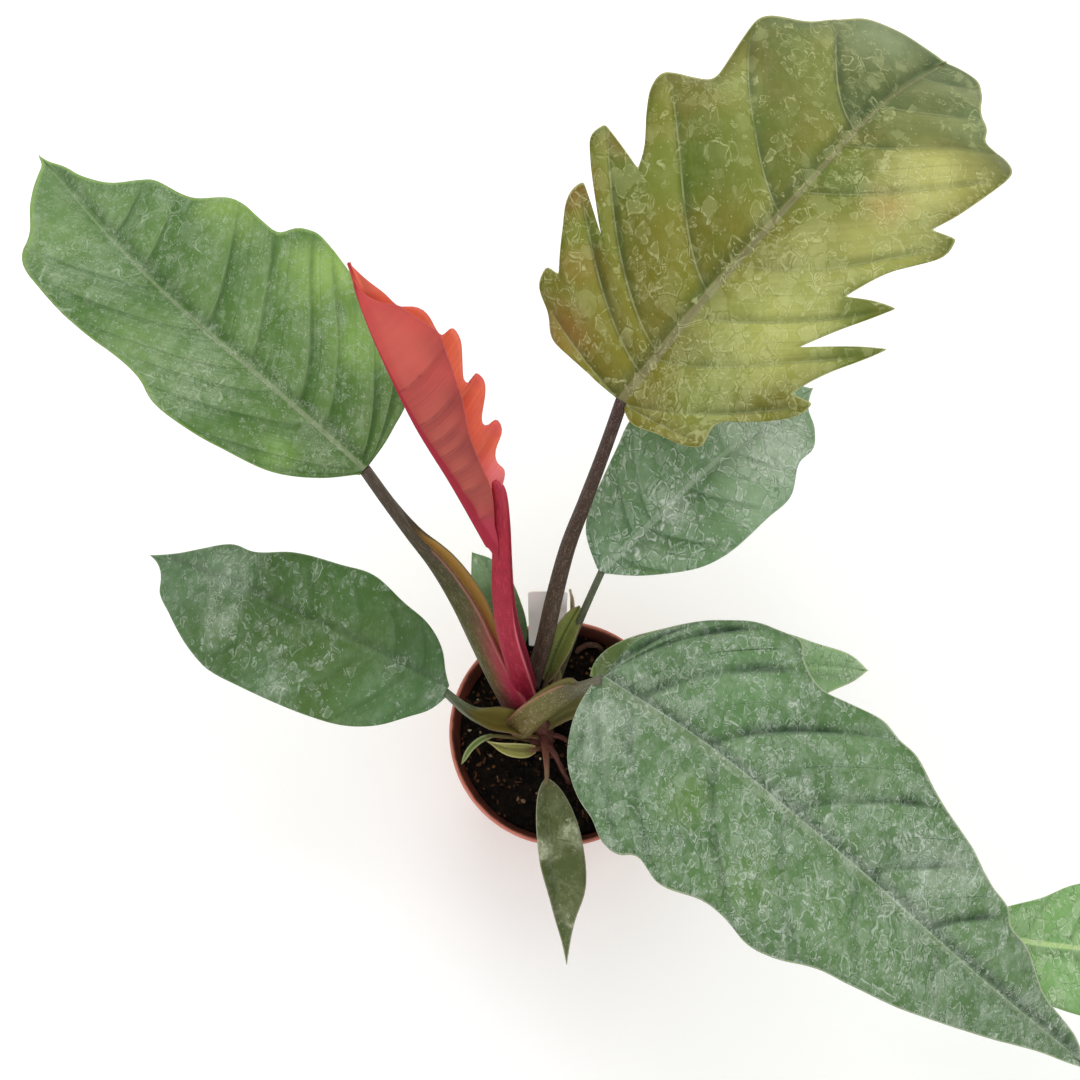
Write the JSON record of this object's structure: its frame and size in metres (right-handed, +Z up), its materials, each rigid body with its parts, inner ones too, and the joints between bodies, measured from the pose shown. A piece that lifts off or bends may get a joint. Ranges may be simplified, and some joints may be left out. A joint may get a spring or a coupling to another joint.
{
  "type": "potted philodendron",
  "caption": "Young philodendron with lobed, wavy olive and grey-green leaves, a coral-red new leaf and red-brown stalks, in a small terracotta-coloured nursery pot with soil and a blank label",
  "frame": {"origin": "middle of the pot's flat underside", "axes": "+Z up; +X to the right and +Y away from the viewer in the reference picture"},
  "size_m": [0.5202, 0.4059, 0.2982],
  "materials": {
    "terracotta_plastic": "satin, thin moulded",
    "soil": "rough, crumbly",
    "label_plastic": "satin, milky",
    "stem": "matte",
    "root": "matte",
    "dry_sheath": "papery",
    "olive_leaf": "satin, waxy",
    "green_leaf": "satin, waxy",
    "dark_green_leaf": "satin, waxy",
    "grey_green_leaf": "satin, waxy",
    "light_green_leaf": "satin, waxy",
    "coral_red_leaf": "satin, waxy",
    "yellow_green_leaf": "satin, waxy",
    "brown_stalk": "satin",
    "grey_brown_stalk": "satin",
    "crimson_stalk": "satin",
    "olive_stalk": "satin"
  },
  "bodies": {
    "root": {"main_stem": "stem", "red_stalk": "crimson_stalk", "upper_left_stalk": "grey_brown_stalk", "upper_right_stalk": "brown_stalk", "lower_right_stalk": "olive_stalk", "left_stalk": "olive_stalk", "rear_right_stalk": "grey_brown_stalk", "far_right_stalk": "olive_stalk", "low_right_stalk": "olive_stalk", "front_leaf": "dark_green_leaf", "rear_left_leaf": "green_leaf", "upright_leaf": "yellow_green_leaf", "yellow_leaf": "yellow_green_leaf", "narrow_leaf": "green_leaf", "dry_sheath": "dry_sheath", "front_root": "root", "side_root": "root", "back_root": "root", "plant_label": "label_plastic", "soil": "soil", "pot": "terracotta_plastic", "upper_right_blade": "olive_leaf", "upper_left_blade": "green_leaf", "red_blade": "coral_red_leaf", "left_blade": "dark_green_leaf", "lower_right_blade": "grey_green_leaf", "rear_right_blade": "light_green_leaf", "far_right_blade": "light_green_leaf", "low_right_blade": "green_leaf"}
  },
  "joints": []
}
